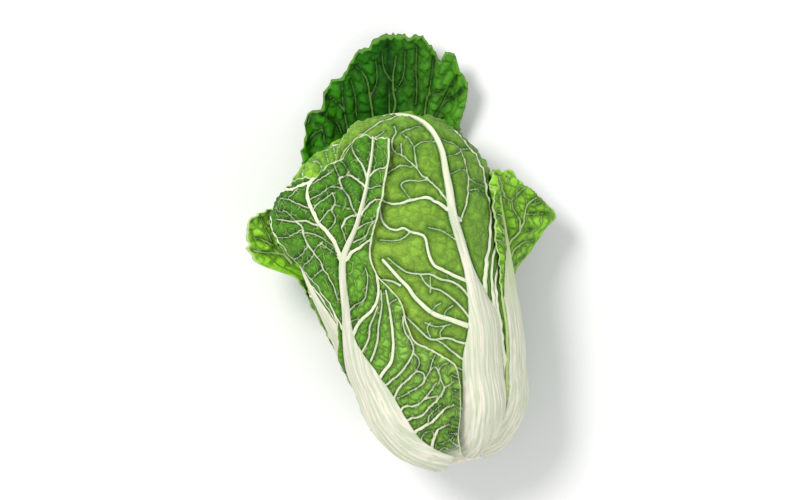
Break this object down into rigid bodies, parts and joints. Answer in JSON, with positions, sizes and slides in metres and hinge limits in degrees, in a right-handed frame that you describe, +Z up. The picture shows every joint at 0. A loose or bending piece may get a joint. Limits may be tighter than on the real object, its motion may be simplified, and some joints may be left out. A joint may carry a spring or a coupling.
{
  "type": "napa cabbage",
  "caption": "Whole napa cabbage lying on its side: a long dense head with pale ribs, veined crinkled leaves wrapped round it and loose outer leaves standing away.",
  "frame": {"origin": "middle of the flat spot under the head, on the surface that it lies on", "axes": "+Y along the head from the cut base to the leaf tips, +Z up, +X across the head"},
  "size_m": [0.2489, 0.3514, 0.1638],
  "materials": {
    "stem": "cut stem, cream white, damp and slightly rough",
    "heart": "packed inner leaves, pale yellow green",
    "leaf_light": "crinkled leaf, light yellow green with cream ribs and veins, soft waxy sheen",
    "leaf_green": "crinkled leaf, mid green with cream ribs and veins, soft waxy sheen",
    "leaf_dark": "outer leaf, dark green with pale veins, soft waxy sheen"
  },
  "bodies": {
    "root": {"stem": "stem", "heart": "heart", "leaf_front_left": "leaf_green", "leaf_front_right": "leaf_light", "leaf_crown": "leaf_light", "leaf_left": "leaf_green", "leaf_right": "leaf_light", "leaf_back_left": "leaf_light", "leaf_back_right": "leaf_light", "leaf_outer_right": "leaf_green", "leaf_outer_left": "leaf_dark", "leaf_under": "leaf_dark"}
  },
  "joints": []
}
